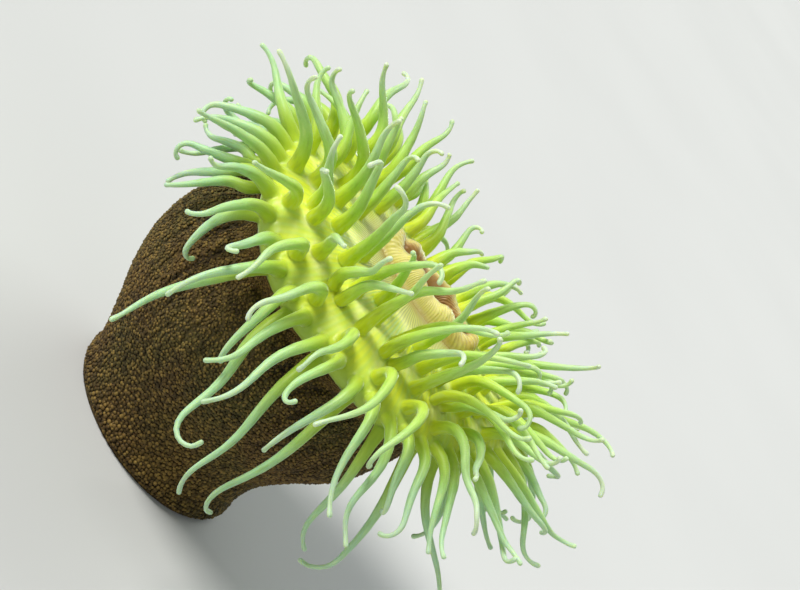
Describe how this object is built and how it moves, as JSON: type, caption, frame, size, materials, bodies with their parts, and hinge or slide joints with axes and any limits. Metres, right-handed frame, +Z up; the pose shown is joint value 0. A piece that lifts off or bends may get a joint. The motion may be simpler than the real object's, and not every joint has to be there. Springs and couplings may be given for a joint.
{
  "type": "giant green sea anemone",
  "caption": "Life-size sea anemone standing on its pedal disc: warty brown column, collar, broad yellow-green oral disc with long lips, and a crown of tapering tentacles.",
  "frame": {"origin": "middle of the sole, on the floor", "axes": "+Z up the column, +X to the side towards which the crown leans, -Y to the animal's front"},
  "size_m": [0.2755, 0.2491, 0.2068],
  "materials": {
    "sole": "soft, matt brown flesh",
    "column": "damp, olive-brown flesh covered with rounded warts",
    "oral_disc": "moist yellow-green flesh with fine radial lines",
    "lips": "moist cream and orange pleated flesh",
    "tentacles": "moist, translucent yellow-green flesh with pale tips"
  },
  "bodies": {
    "root": {"pedal_disc": "sole", "column_lower": "column", "column_upper": "column", "collar": "column", "oral_disc": "oral_disc", "lips": "lips", "outer_tentacles_01": "tentacles", "outer_tentacles_02": "tentacles", "outer_tentacles_03": "tentacles", "outer_tentacles_04": "tentacles", "outer_tentacles_05": "tentacles", "outer_tentacles_06": "tentacles", "outer_tentacles_07": "tentacles", "outer_tentacles_08": "tentacles", "outer_tentacles_09": "tentacles", "outer_tentacles_10": "tentacles", "outer_tentacles_11": "tentacles", "outer_tentacles_12": "tentacles", "outer_tentacles_13": "tentacles", "outer_tentacles_14": "tentacles", "outer_tentacles_15": "tentacles", "outer_tentacles_16": "tentacles", "outer_tentacles_17": "tentacles", "outer_tentacles_18": "tentacles", "outer_tentacles_19": "tentacles", "outer_tentacles_20": "tentacles", "outer_tentacles_21": "tentacles", "outer_tentacles_22": "tentacles", "outer_tentacles_23": "tentacles", "outer_tentacles_24": "tentacles", "inner_tentacles_01": "tentacles", "inner_tentacles_02": "tentacles", "inner_tentacles_03": "tentacles", "inner_tentacles_04": "tentacles", "inner_tentacles_05": "tentacles", "inner_tentacles_06": "tentacles", "inner_tentacles_07": "tentacles", "inner_tentacles_08": "tentacles", "inner_tentacles_09": "tentacles", "inner_tentacles_10": "tentacles", "inner_tentacles_11": "tentacles", "inner_tentacles_12": "tentacles"}
  },
  "joints": []
}
